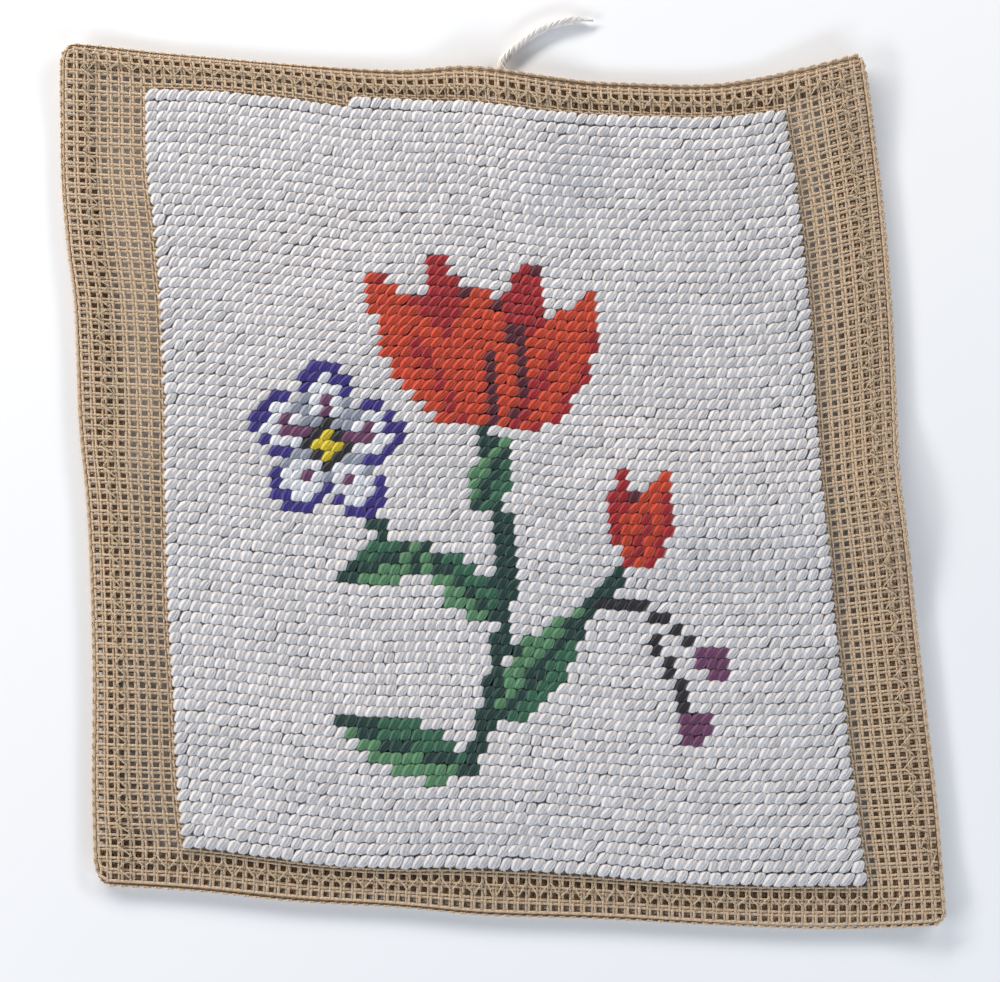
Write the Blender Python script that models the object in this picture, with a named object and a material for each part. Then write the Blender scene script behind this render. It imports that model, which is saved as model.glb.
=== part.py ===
"""A needlepoint canvas panel that lies flat: double-thread canvas with its raw edge turned to the back
on all four sides, a rectangle of wool tent stitches on it, and one loose yarn end.

Frame: X runs to the right and Y to the top of the worked side, Z up from the surface that it lies on.
The origin is the middle of the bottom of the panel's box.

Places on the cloth are given in meshes: u counts columns to the right and v counts rows down, both from
the top left corner of the stitched field. Lengths are in millimetres until the solids are made.
"""
import math

import bpy

MM = 0.001

# Stitched field, in meshes: 62 columns and 71 rows, the first row only from FIRST_ROW_START on
FIELD_COLUMNS = 62
FIELD_ROWS = 71
FIRST_ROW_START = 20.0

# Folded edges of the canvas, in meshes
FOLD_LEFT = -7.9
FOLD_RIGHT = 69.6
FOLD_TOP = -3.25
FOLD_BOTTOM = 74.75

# Width of the bare border beside the field, in mm, at the top and at the bottom of the panel
LEFT_BORDER = (20.7, 21.4)
RIGHT_BORDER = (20.1, 18.6)

# How far the turned hem reaches in from the fold, in meshes, at the two ends of each side
HEM_LEFT = (3.0, 5.2)
HEM_RIGHT = (4.2, 6.3)
HEM_TOP = (2.9, 2.9)
HEM_BOTTOM = (3.4, 3.4)

# Corners of the panel before rounding, in mm
CORNER_TOP_LEFT = (-108.0, 105.0)
CORNER_TOP_RIGHT = (89.1, 104.7)
CORNER_BOTTOM_LEFT = (-88.8, -99.1)
CORNER_BOTTOM_RIGHT = (108.4, -102.7)

# Size of each rounded corner in meshes, along the row and along the column
ROUND_TOP_LEFT = (1.3, 1.7)
ROUND_TOP_RIGHT = (0.6, 0.6)
ROUND_BOTTOM_LEFT = (1.2, 2.4)
ROUND_BOTTOM_RIGHT = (1.2, 1.2)

# Unevenness of each side: share of the way along it, and how far it stands out of the straight line, in mm
TOP_SIDE = (
    # along, out
    (0.00, 0.0),
    (0.10, -1.4),
    (0.25, -3.8),
    (0.35, -5.1),
    (0.43, -5.7),
    (0.50, -4.8),
    (0.60, -7.1),
    (0.72, -8.1),
    (0.82, -7.9),
    (0.92, -4.1),
    (1.00, 0.0),
)
BOTTOM_SIDE = (
    # along, out
    (0.00, 0.0),
    (0.12, 0.4),
    (0.24, 1.7),
    (0.36, 1.9),
    (0.46, 2.8),
    (0.60, 2.4),
    (0.75, 2.5),
    (0.87, 2.1),
    (1.00, 0.0),
)
LEFT_SIDE = (
    # along, out
    (0.00, 0.0),
    (0.08, 1.2),
    (0.17, 1.8),
    (0.25, 1.1),
    (0.32, -0.2),
    (0.47, -0.3),
    (0.57, -1.5),
    (0.76, -1.5),
    (0.90, -0.3),
    (1.00, 0.0),
)
RIGHT_SIDE = (
    # along, out
    (0.00, 0.0),
    (0.15, 1.2),
    (0.28, 1.1),
    (0.42, -0.2),
    (0.50, -1.2),
    (0.60, -0.6),
    (0.75, 0.1),
    (0.88, 0.6),
    (1.00, 0.0),
)

# Unevenness of the stitched field's edges: place along the edge in meshes, and how far the cloth is moved
# there to the top or to the right, in mm
FIELD_TOP = (
    # u, up
    (0.0, 0.6),
    (5.0, 1.4),
    (10.0, 1.8),
    (15.0, 1.6),
    (20.0, 0.6),
    (25.0, 0.6),
    (31.0, -0.7),
    (39.0, -1.2),
    (45.0, -0.5),
    (58.0, -0.6),
    (62.0, -1.4),
)
FIELD_BOTTOM = (
    # u, up
    (0.0, 0.5),
    (7.0, 0.2),
    (15.0, -0.5),
    (20.0, -0.3),
    (25.0, 1.1),
    (30.0, 1.4),
    (38.0, 0.6),
    (48.0, 0.2),
    (58.0, 0.7),
    (62.0, 0.4),
)
FIELD_LEFT = (
    # v, right
    (0.0, 0.9),
    (8.0, 1.1),
    (15.0, 2.0),
    (21.0, 1.3),
    (33.0, 1.0),
    (40.0, -0.8),
    (49.0, -1.8),
    (58.0, -1.3),
    (66.0, -0.4),
    (71.0, 0.8),
)
FIELD_RIGHT = (
    # v, right
    (0.0, -0.5),
    (12.0, -0.1),
    (25.0, 0.0),
    (36.0, 0.5),
    (43.0, 0.1),
    (55.0, -0.6),
    (66.0, -0.4),
    (71.0, 0.6),
)

# Soft ridges in which the cloth stands off the surface: a crest from one place to another in meshes,
# the half width of the ridge in meshes, and its height in mm. The cloth sinks back by SETTLE mm, so it
# lies flat on the surface outside the ridges and along their feet.
SETTLE = 0.35
RIDGES = (
    # name, from u, from v, to u, to v, half width, height
    ("over the yarn tail", 35.8, -3.3, 38.4, 3.6, 9.0, 3.1),
    ("swell in the middle", 22.0, 24.0, 33.0, 38.0, 20.0, 2.6),
    ("wave to the right side", 48.0, 36.0, 69.6, 39.0, 11.0, 2.4),
    ("roll of the left border", -4.2, 36.0, -4.2, 68.0, 4.4, 1.8),
    ("lifted top left corner", -7.9, -3.3, -7.0, -3.3, 11.0, 1.6),
    ("lifted top right corner", 69.6, -3.3, 69.6, -2.0, 12.0, 1.8),
    ("lifted bottom right corner", 69.6, 74.8, 68.0, 74.8, 8.0, 1.2),
    ("swell at the lower left", 12.0, 60.0, 30.0, 65.0, 9.0, 1.5),
)

# Heights above the underside of the panel, in mm
SHEET = 1.0
GAP = 0.3
HEM_HIGH = SHEET
CANVAS_LOW = HEM_HIGH + GAP
CANVAS_HIGH = CANVAS_LOW + SHEET
BACK_WOOL_HIGH = CANVAS_LOW - GAP
BACK_WOOL_RIM = 0.35
FACE_WOOL_LOW = CANVAS_HIGH + GAP
FACE_WOOL_HIGH = FACE_WOOL_LOW + 1.1
FACE_WOOL_RIM = FACE_WOOL_HIGH - 0.45
FOLD_RADIUS = CANVAS_HIGH / 2

# Grid of the solids, in meshes, and the angle in degrees below which their edges are shaded smooth
FOLD_INSET = 0.45
SHOULDER = 0.6
GRID_STEP = 3.25
SMOOTH_ANGLE = 50

# Loose yarn end: its thickness and the places that it passes, in mm, from under the field to its tip
YARN_THICKNESS = 1.9
YARN_POINTS_EVERY = 2.0
TIP_TAPER = 0.35
YARN_ROUTE = (
    # x, y
    (12.4, 88.0),
    (10.2, 90.0),
    (8.2, 92.2),
    (6.3, 94.4),
    (4.2, 96.2),
    (2.2, 97.9),
    (1.0, 99.9),
    (1.3, 102.3),
    (2.9, 104.4),
    (4.8, 106.3),
    (6.9, 108.1),
    (9.1, 109.7),
    (11.6, 111.1),
    (14.3, 112.2),
    (16.9, 112.9),
    (19.7, 113.3),
    (23.2, 113.1),
)


def mix(a, b, share):
    return a + (b - a) * share


def through(rows, along):
    """Smooth curve through the rows of a table, the first column against the rest."""
    last = len(rows) - 2
    at = 0
    while at < last and along > rows[at + 1][0]:
        at += 1
    before = rows[max(at - 1, 0)]
    here = rows[at]
    there = rows[at + 1]
    after = rows[min(at + 2, last + 1)]
    span = there[0] - here[0]
    share = (along - here[0]) / span
    values = []
    for column in range(1, len(here)):
        slope_here = (there[column] - before[column]) / (there[0] - before[0]) * span
        slope_there = (after[column] - here[column]) / (after[0] - here[0]) * span
        square = share * share
        cube = square * share
        values.append(
            (2 * cube - 3 * square + 1) * here[column]
            + (cube - 2 * square + share) * slope_here
            + (3 * square - 2 * cube) * there[column]
            + (cube - square) * slope_there
        )
    return values


def side_point(start, end, rows, along, out_turn):
    """Point on one side of the panel, in mm: the straight line plus the side's unevenness."""
    run_x = end[0] - start[0]
    run_y = end[1] - start[1]
    length = math.hypot(run_x, run_y)
    out = through(rows, along)[0] * out_turn
    x = start[0] + run_x * along - run_y / length * out
    y = start[1] + run_y * along + run_x / length * out
    return x, y


def share_across(u, down):
    """Share of the panel's width at column u, a share `down` of the way down the panel."""
    width = CORNER_TOP_RIGHT[0] - CORNER_TOP_LEFT[0]
    left = mix(LEFT_BORDER[0], LEFT_BORDER[1], down)
    right = mix(RIGHT_BORDER[0], RIGHT_BORDER[1], down)
    if u < 0:
        return left * (u - FOLD_LEFT) / -FOLD_LEFT / width
    if u > FIELD_COLUMNS:
        return 1 - right * (FOLD_RIGHT - u) / (FOLD_RIGHT - FIELD_COLUMNS) / width
    return (left + (width - left - right) * u / FIELD_COLUMNS) / width


def round_corner(u, v):
    """Draw the places near a corner in, so that the corner is round."""
    corners = (
        (FOLD_LEFT, 1, FOLD_TOP, 1, ROUND_TOP_LEFT),
        (FOLD_RIGHT, -1, FOLD_TOP, 1, ROUND_TOP_RIGHT),
        (FOLD_LEFT, 1, FOLD_BOTTOM, -1, ROUND_BOTTOM_LEFT),
        (FOLD_RIGHT, -1, FOLD_BOTTOM, -1, ROUND_BOTTOM_RIGHT),
    )
    for corner_u, turn_u, corner_v, turn_v, size in corners:
        p = 1 - (u - corner_u) * turn_u / size[0]
        q = 1 - (v - corner_v) * turn_v / size[1]
        if p > 0 and q > 0:
            pull = max(p, q) / math.hypot(p, q)
            return corner_u + turn_u * size[0] * (1 - p * pull), corner_v + turn_v * size[1] * (1 - q * pull)
    return u, v


def rise(u, v):
    """Height of the panel's underside above the surface, in mm."""
    total = 0.0
    for _, from_u, from_v, to_u, to_v, half_width, height in RIDGES:
        run_u = to_u - from_u
        run_v = to_v - from_v
        along = ((u - from_u) * run_u + (v - from_v) * run_v) / (run_u * run_u + run_v * run_v)
        along = min(max(along, 0.0), 1.0)
        away = math.hypot(u - from_u - run_u * along, v - from_v - run_v * along)
        if away < half_width:
            total += height * (0.5 + 0.5 * math.cos(math.pi * away / half_width))
    return max(total - SETTLE, 0.0)


def field_shift(u, v):
    """How far the uneven edges of the field move a place on the cloth, in mm to the right and up."""
    column = min(max(u, 0.0), FIELD_COLUMNS)
    row = min(max(v, 0.0), FIELD_ROWS)
    right = mix(through(FIELD_LEFT, row)[0], through(FIELD_RIGHT, row)[0], column / FIELD_COLUMNS)
    up = mix(through(FIELD_TOP, column)[0], through(FIELD_BOTTOM, column)[0], row / FIELD_ROWS)
    fade_across = min(1.0, (u - FOLD_LEFT) / -FOLD_LEFT, (FOLD_RIGHT - u) / (FOLD_RIGHT - FIELD_COLUMNS))
    fade_down = min(1.0, (v - FOLD_TOP) / -FOLD_TOP, (FOLD_BOTTOM - v) / (FOLD_BOTTOM - FIELD_ROWS))
    fade = max(fade_across, 0.0) * max(fade_down, 0.0)
    return right * fade, up * fade


def place(u, v):
    """Plan position in mm of a place on the cloth."""
    down = (v - FOLD_TOP) / (FOLD_BOTTOM - FOLD_TOP)
    across = share_across(u, down)
    top = side_point(CORNER_TOP_LEFT, CORNER_TOP_RIGHT, TOP_SIDE, across, 1)
    bottom = side_point(CORNER_BOTTOM_LEFT, CORNER_BOTTOM_RIGHT, BOTTOM_SIDE, across, -1)
    left = side_point(CORNER_TOP_LEFT, CORNER_BOTTOM_LEFT, LEFT_SIDE, down, -1)
    right = side_point(CORNER_TOP_RIGHT, CORNER_BOTTOM_RIGHT, RIGHT_SIDE, down, 1)
    spot = []
    for axis in (0, 1):
        flat = mix(
            mix(CORNER_TOP_LEFT[axis], CORNER_TOP_RIGHT[axis], across),
            mix(CORNER_BOTTOM_LEFT[axis], CORNER_BOTTOM_RIGHT[axis], across),
            down,
        )
        spot.append(mix(top[axis], bottom[axis], down) + mix(left[axis], right[axis], across) - flat)
    shift = field_shift(u, v)
    return spot[0] + shift[0], spot[1] + shift[1]


def evenly(start, end):
    """Grid lines after `start` up to and with `end`, about GRID_STEP apart."""
    steps = max(1, round((end - start) / GRID_STEP))
    return [(mix(start, end, step / steps),) * 2 for step in range(1, steps + 1)]


def grid_lines():
    """Columns as u at the top and bottom, rows as v at the left and right, and the marked lines."""
    hem_left = (FOLD_LEFT + HEM_LEFT[0], FOLD_LEFT + HEM_LEFT[1])
    hem_right = (FOLD_RIGHT - HEM_RIGHT[0], FOLD_RIGHT - HEM_RIGHT[1])
    hem_top = (FOLD_TOP + HEM_TOP[0], FOLD_TOP + HEM_TOP[1])
    hem_bottom = (FOLD_BOTTOM - HEM_BOTTOM[0], FOLD_BOTTOM - HEM_BOTTOM[1])

    def hem(fold, edge):
        ring = (fold, fold)
        middle = (mix(fold, edge[0], 0.5), mix(fold, edge[1], 0.5))
        return [ring, middle, edge]

    columns = hem(FOLD_LEFT + FOLD_INSET, hem_left)
    columns += [(0.0, 0.0), (SHOULDER, SHOULDER)]
    columns += evenly(SHOULDER, FIRST_ROW_START)
    columns += evenly(FIRST_ROW_START, FIELD_COLUMNS - SHOULDER)
    columns += [(FIELD_COLUMNS, FIELD_COLUMNS)]
    columns += hem(FOLD_RIGHT - FOLD_INSET, hem_right)[::-1]

    rows = hem(FOLD_TOP + FOLD_INSET, hem_top)
    rows += [(0.0, 0.0), (1.0, 1.0)]
    rows += evenly(1.0, FIELD_ROWS - SHOULDER)
    rows += [(FIELD_ROWS, FIELD_ROWS)]
    rows += hem(FOLD_BOTTOM - FOLD_INSET, hem_bottom)[::-1]
    return columns, rows


COLUMNS, ROWS = grid_lines()
LAST_COLUMN = len(COLUMNS) - 1
LAST_ROW = len(ROWS) - 1
HEM_LINES = 2
FIELD_LINES = 3


def grid_place(i, j):
    """Place in meshes of a crossing of the grid."""
    down = j / LAST_ROW
    right = i / LAST_COLUMN
    u = mix(COLUMNS[i][0], COLUMNS[i][1], down)
    v = mix(ROWS[j][0], ROWS[j][1], right)
    return u, v


def fold_place(i, j):
    """Place on the folded edge next to a crossing on the rim of the grid."""
    u, v = grid_place(i, j)
    if i == 0:
        u = FOLD_LEFT
    if i == LAST_COLUMN:
        u = FOLD_RIGHT
    if j == 0:
        v = FOLD_TOP
    if j == LAST_ROW:
        v = FOLD_BOTTOM
    return u, v


def cells_all():
    return {(i, j) for i in range(LAST_COLUMN) for j in range(LAST_ROW)}


def cells_hem():
    """The cells between the folded edge and the hem's raw edge, all round."""
    inside = {
        (i, j)
        for i in range(HEM_LINES, LAST_COLUMN - HEM_LINES)
        for j in range(HEM_LINES, LAST_ROW - HEM_LINES)
    }
    return cells_all() - inside


def cells_field():
    """The stitched cells: the first row of them starts at FIRST_ROW_START."""
    cells = set()
    for i in range(FIELD_LINES, LAST_COLUMN - FIELD_LINES):
        for j in range(FIELD_LINES, LAST_ROW - FIELD_LINES):
            u, _ = grid_place(i, j)
            if j > FIELD_LINES or u > FIRST_ROW_START - SHOULDER:
                cells.add((i, j))
    return cells


def cell_corners(i, j):
    """Corners of a cell, anticlockwise as seen from above."""
    return (i, j), (i, j + 1), (i + 1, j + 1), (i + 1, j)


def rim_edges(cells):
    """Directed edges round a set of cells, with the cells on their left."""
    edges = set()
    for cell in cells:
        corners = cell_corners(*cell)
        for start, end in zip(corners, corners[1:] + corners[:1]):
            if (end, start) in edges:
                edges.remove((end, start))
            else:
                edges.add((start, end))
    return sorted(edges)


class Skin:
    """Triangles over named points, which become one closed mesh."""

    def __init__(self):
        self.numbers = {}
        self.points = []
        self.triangles = []

    def point(self, level, crossing):
        """Number of the point over a crossing at a level, which is a function from crossing to place."""
        key = (level.__name__, crossing)
        if key not in self.numbers:
            u, v, height = level(crossing)
            u, v = round_corner(u, v)
            x, y = place(u, v)
            self.numbers[key] = len(self.points)
            self.points.append((x * MM, y * MM, (rise(u, v) + height) * MM))
        return self.numbers[key]

    def sheet(self, cells, level, upward):
        for cell in sorted(cells):
            a, b, c, d = (self.point(level, corner) for corner in cell_corners(*cell))
            pair = [(a, b, c), (a, c, d)]
            if not upward:
                pair = [triangle[::-1] for triangle in pair]
            self.triangles += pair

    def wall(self, edges, low, high, outward=True):
        for start, end in edges:
            a = self.point(low, start)
            b = self.point(low, end)
            c = self.point(high, end)
            d = self.point(high, start)
            pair = [(a, b, c), (a, c, d)]
            if not outward:
                pair = [triangle[::-1] for triangle in pair]
            self.triangles += pair

    def to_object(self, name, material):
        mesh = bpy.data.meshes.new(name)
        mesh.from_pydata(self.points, [], self.triangles)
        mesh.validate()
        mesh.shade_smooth()
        mesh.set_sharp_from_angle(angle=math.radians(SMOOTH_ANGLE))
        mesh.materials.append(material)
        thing = bpy.data.objects.new(name, mesh)
        bpy.context.scene.collection.objects.link(thing)
        return thing


def level_at(name, height):
    """A level at one height over the whole cloth."""

    def level(crossing):
        u, v = grid_place(*crossing)
        return u, v, height

    level.__name__ = name
    return level


def rimmed_level(name, height, rim_height, rim):
    """A level that drops to a lower height at its rim, like the shoulder of a pad."""

    def level(crossing):
        u, v = grid_place(*crossing)
        return u, v, rim_height if crossing in rim else height

    level.__name__ = name
    return level


def fold_level(name, turn):
    """A level on the round of the folded edge, `turn` degrees up from its middle."""

    def level(crossing):
        inner = grid_place(*crossing)
        outer = fold_place(*crossing)
        reach = math.cos(math.radians(turn))
        height = FOLD_RADIUS + FOLD_RADIUS * math.sin(math.radians(turn))
        return mix(inner[0], outer[0], reach), mix(inner[1], outer[1], reach), height

    level.__name__ = name
    return level


def build_canvas(material):
    skin = Skin()
    whole = cells_all()
    hem = cells_hem()
    outer = rim_edges(whole)
    inner = [edge for edge in rim_edges(hem) if edge not in outer]
    hem_low = level_at("hem low", 0.0)
    hem_high = level_at("hem high", HEM_HIGH)
    canvas_low = level_at("canvas low", CANVAS_LOW)
    canvas_high = level_at("canvas high", CANVAS_HIGH)
    skin.sheet(whole, canvas_high, upward=True)
    skin.sheet(whole, canvas_low, upward=False)
    skin.sheet(hem, hem_high, upward=True)
    skin.sheet(hem, hem_low, upward=False)
    skin.wall(inner, hem_low, hem_high)
    skin.wall(outer, hem_high, canvas_low, outward=False)
    rings = [hem_low, fold_level("fold lower", -45), fold_level("fold middle", 0), fold_level("fold upper", 45)]
    rings.append(canvas_high)
    for low, high in zip(rings, rings[1:]):
        skin.wall(outer, low, high)
    return skin.to_object("canvas", material)


def build_wool(name, material, low, high, rim_low, rim_high):
    """One side of the needlework: a pad over the stitched cells with a soft shoulder."""
    skin = Skin()
    cells = cells_field()
    edges = rim_edges(cells)
    rim = {crossing for edge in edges for crossing in edge}
    under = rimmed_level("under", low, rim_low, rim)
    over = rimmed_level("over", high, rim_high, rim)
    skin.sheet(cells, under, upward=False)
    skin.sheet(cells, over, upward=True)
    skin.wall(edges, under, over)
    return skin.to_object(name, material)


def build_yarn_tail(material):
    """The loose yarn end: a tube along a smooth curve that lies on the surface."""
    route = [(0.0, *YARN_ROUTE[0])]
    for before, here in zip(YARN_ROUTE, YARN_ROUTE[1:]):
        route.append((route[-1][0] + math.hypot(here[0] - before[0], here[1] - before[1]), *here))
    length = route[-1][0]
    count = round(length / (YARN_POINTS_EVERY * YARN_THICKNESS)) + 1
    curve = bpy.data.curves.new("yarn_tail", "CURVE")
    curve.dimensions = "3D"
    curve.bevel_depth = YARN_THICKNESS / 2 * MM
    curve.bevel_resolution = 2
    curve.use_fill_caps = True
    spline = curve.splines.new("POLY")
    spline.points.add(count - 1)
    for number, point in enumerate(spline.points):
        x, y = through(route, length * number / (count - 1))
        point.co = (x * MM, y * MM, YARN_THICKNESS / 2 * MM, 1.0)
    spline.points[-1].radius = TIP_TAPER
    curve.materials.append(material)
    tail = bpy.data.objects.new("yarn_tail", curve)
    bpy.context.scene.collection.objects.link(tail)
    return tail


def make_material(name, colour, roughness):
    material = bpy.data.materials.new(name)
    material.use_nodes = True
    shader = material.node_tree.nodes["Principled BSDF"]
    shader.inputs["Base Color"].default_value = (*colour, 1.0)
    shader.inputs["Roughness"].default_value = roughness
    shader.inputs["Metallic"].default_value = 0.0
    material.diffuse_color = (*colour, 1.0)
    return material


def main():
    for thing in list(bpy.data.objects):
        bpy.data.objects.remove(thing, do_unlink=True)
    cotton = make_material("canvas_cotton", (0.46, 0.34, 0.22), 0.85)
    wool = make_material("off_white_wool", (0.76, 0.73, 0.70), 0.9)
    back_wool = make_material("back_wool", (0.68, 0.64, 0.60), 0.9)
    tail_wool = make_material("tail_wool", (0.80, 0.79, 0.79), 0.9)
    build_canvas(cotton)
    build_wool("needlework_face", wool, FACE_WOOL_LOW, FACE_WOOL_HIGH, FACE_WOOL_LOW, FACE_WOOL_RIM)
    build_wool("needlework_back", back_wool, 0.0, BACK_WOOL_HIGH, BACK_WOOL_RIM, BACK_WOOL_HIGH)
    build_yarn_tail(tail_wool)


main()
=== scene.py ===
import math

import bpy
import numpy as np
from mathutils import Matrix, Vector


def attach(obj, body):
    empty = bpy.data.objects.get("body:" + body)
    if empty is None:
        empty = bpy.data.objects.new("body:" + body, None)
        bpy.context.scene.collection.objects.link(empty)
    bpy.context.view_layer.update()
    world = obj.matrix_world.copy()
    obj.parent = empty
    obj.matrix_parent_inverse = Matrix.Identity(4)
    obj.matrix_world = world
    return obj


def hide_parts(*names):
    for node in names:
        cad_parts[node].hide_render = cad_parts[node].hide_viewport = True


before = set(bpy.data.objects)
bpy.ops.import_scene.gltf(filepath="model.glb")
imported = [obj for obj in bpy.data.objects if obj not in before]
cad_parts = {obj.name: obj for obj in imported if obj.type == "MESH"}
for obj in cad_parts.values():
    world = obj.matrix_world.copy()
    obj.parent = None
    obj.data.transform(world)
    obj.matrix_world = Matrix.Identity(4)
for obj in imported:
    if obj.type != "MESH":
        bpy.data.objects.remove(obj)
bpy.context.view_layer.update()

# Places on the cloth are in meshes, as in the part's source: u counts columns to the right and v counts
# rows down, both from the top left corner of the stitched field. Canvas threads lie at half numbers and
# holes at whole ones. Lengths are in millimetres until a mesh is made.
MM = 0.001
BODY = "root"

# Stitched field, in meshes: the first row only from FIRST_ROW_START on
FIELD_COLUMNS = 62
FIELD_ROWS = 71
FIRST_ROW_START = 20

# Folded edges of the canvas, in meshes
FOLD_LEFT = -7.9
FOLD_RIGHT = 69.6
FOLD_TOP = -3.25
FOLD_BOTTOM = 74.75

# Width of the bare border beside the field, in mm, at the top and at the bottom of the panel
LEFT_BORDER = (20.7, 21.4)
RIGHT_BORDER = (20.1, 18.6)

# How far the turned hem reaches in from the fold, in meshes, at the two ends of each side
HEM_LEFT = (3.0, 5.2)
HEM_RIGHT = (4.2, 6.3)
HEM_TOP = (2.9, 2.9)
HEM_BOTTOM = (3.4, 3.4)

# Corners of the panel before rounding, in mm
CORNER_TOP_LEFT = (-108.0, 105.0)
CORNER_TOP_RIGHT = (89.1, 104.7)
CORNER_BOTTOM_LEFT = (-88.8, -99.1)
CORNER_BOTTOM_RIGHT = (108.4, -102.7)

# Size of each rounded corner in meshes, along the row and along the column
ROUND_TOP_LEFT = (1.3, 1.7)
ROUND_TOP_RIGHT = (0.6, 0.6)
ROUND_BOTTOM_LEFT = (1.2, 2.4)
ROUND_BOTTOM_RIGHT = (1.2, 1.2)

# Unevenness of each side: share of the way along it, and how far it stands out of the straight line, in mm
TOP_SIDE = (
    # along, out
    (0.00, 0.0),
    (0.10, -1.4),
    (0.25, -3.8),
    (0.35, -5.1),
    (0.43, -5.7),
    (0.50, -4.8),
    (0.60, -7.1),
    (0.72, -8.1),
    (0.82, -7.9),
    (0.92, -4.1),
    (1.00, 0.0),
)
BOTTOM_SIDE = (
    # along, out
    (0.00, 0.0),
    (0.12, 0.4),
    (0.24, 1.7),
    (0.36, 1.9),
    (0.46, 2.8),
    (0.60, 2.4),
    (0.75, 2.5),
    (0.87, 2.1),
    (1.00, 0.0),
)
LEFT_SIDE = (
    # along, out
    (0.00, 0.0),
    (0.08, 1.2),
    (0.17, 1.8),
    (0.25, 1.1),
    (0.32, -0.2),
    (0.47, -0.3),
    (0.57, -1.5),
    (0.76, -1.5),
    (0.90, -0.3),
    (1.00, 0.0),
)
RIGHT_SIDE = (
    # along, out
    (0.00, 0.0),
    (0.15, 1.2),
    (0.28, 1.1),
    (0.42, -0.2),
    (0.50, -1.2),
    (0.60, -0.6),
    (0.75, 0.1),
    (0.88, 0.6),
    (1.00, 0.0),
)

# Unevenness of the stitched field's edges: place along the edge in meshes, and how far the cloth is moved
# there to the top or to the right, in mm
FIELD_TOP = (
    # u, up
    (0.0, 0.6),
    (5.0, 1.4),
    (10.0, 1.8),
    (15.0, 1.6),
    (20.0, 0.6),
    (25.0, 0.6),
    (31.0, -0.7),
    (39.0, -1.2),
    (45.0, -0.5),
    (58.0, -0.6),
    (62.0, -1.4),
)
FIELD_BOTTOM = (
    # u, up
    (0.0, 0.5),
    (7.0, 0.2),
    (15.0, -0.5),
    (20.0, -0.3),
    (25.0, 1.1),
    (30.0, 1.4),
    (38.0, 0.6),
    (48.0, 0.2),
    (58.0, 0.7),
    (62.0, 0.4),
)
FIELD_LEFT = (
    # v, right
    (0.0, 0.9),
    (8.0, 1.1),
    (15.0, 2.0),
    (21.0, 1.3),
    (33.0, 1.0),
    (40.0, -0.8),
    (49.0, -1.8),
    (58.0, -1.3),
    (66.0, -0.4),
    (71.0, 0.8),
)
FIELD_RIGHT = (
    # v, right
    (0.0, -0.5),
    (12.0, -0.1),
    (25.0, 0.0),
    (36.0, 0.5),
    (43.0, 0.1),
    (55.0, -0.6),
    (66.0, -0.4),
    (71.0, 0.6),
)

# Soft ridges in which the cloth stands off the surface, as in the part's source
SETTLE = 0.35
RIDGES = (
    # name, from u, from v, to u, to v, half width, height
    ("over the yarn tail", 35.8, -3.3, 38.4, 3.6, 9.0, 3.1),
    ("swell in the middle", 22.0, 24.0, 33.0, 38.0, 20.0, 2.6),
    ("wave to the right side", 48.0, 36.0, 69.6, 39.0, 11.0, 2.4),
    ("roll of the left border", -4.2, 36.0, -4.2, 68.0, 4.4, 1.8),
    ("lifted top left corner", -7.9, -3.3, -7.0, -3.3, 11.0, 1.6),
    ("lifted top right corner", 69.6, -3.3, 69.6, -2.0, 12.0, 1.8),
    ("lifted bottom right corner", 69.6, 74.8, 68.0, 74.8, 8.0, 1.2),
    ("swell at the lower left", 12.0, 60.0, 30.0, 65.0, 9.0, 1.5),
)

# Loose yarn end, in mm
YARN_THICKNESS = 1.9
YARN_ROUTE = (
    # x, y
    (12.4, 88.0),
    (10.2, 90.0),
    (8.2, 92.2),
    (6.3, 94.4),
    (4.2, 96.2),
    (2.2, 97.9),
    (1.0, 99.9),
    (1.3, 102.3),
    (2.9, 104.4),
    (4.8, 106.3),
    (6.9, 108.1),
    (9.1, 109.7),
    (11.6, 111.1),
    (14.3, 112.2),
    (16.9, 112.9),
    (19.7, 113.3),
    (23.2, 113.1),
)
PLY_COUNT = 4
PLY_RADIUS = 0.52
PLY_OFFSET = 0.50
PLY_TURN_EVERY = 6.4
PLY_STEP = 0.4
PLY_SIDES = 8
FLARE_AT = 101.5
FLARE_REACH = 3.0
FLARE = 0.5
TIP_FROM = 0.87

# Canvas threads: each mesh has a close pair of upright threads and a wider pair of level ones. Offsets
# from the middle of the pair are in meshes, the rest is in mm.
WARP_OFFSET = 0.125
WARP_HALF_WIDTH = 0.335
WARP_WAVE = 0.22
WEFT_OFFSET = 0.160
WEFT_HALF_WIDTH = 0.325
WEFT_WAVE = 0.20
THREAD_HALF_HEIGHT = 0.24
CANVAS_MIDDLE = 1.8
THREAD_SIDES = 6
UNDER_STITCHES = 0.65

# Hem: the fold round which the threads pass, and the turned layer, which drifts off the weave above it.
# Insets, reaches and drifts are in meshes, heights in mm.
FOLD_INSET = 0.45
FOLD_REACH = 0.35
FOLD_WEAVE = 0.05
FOLD_MARGIN = 0.12
FOLD_MIDDLE = 1.15
SIDE_HEM_HEIGHT = 1.02
END_HEM_HEIGHT = 0.62
HEM_WAVE = 0.10
HEM_HALF_WIDTH = 0.37
HEM_HALF_HEIGHT = 0.20
HEM_SIDES = 5
HEM_DRIFT_CHANGE = 0.08
HEM_DRIFT_OVER = 0.5
HEM_DRIFT_FROM = 1.2
EDGE_THREAD_DEPTHS = (0.12, 0.32)

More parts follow.
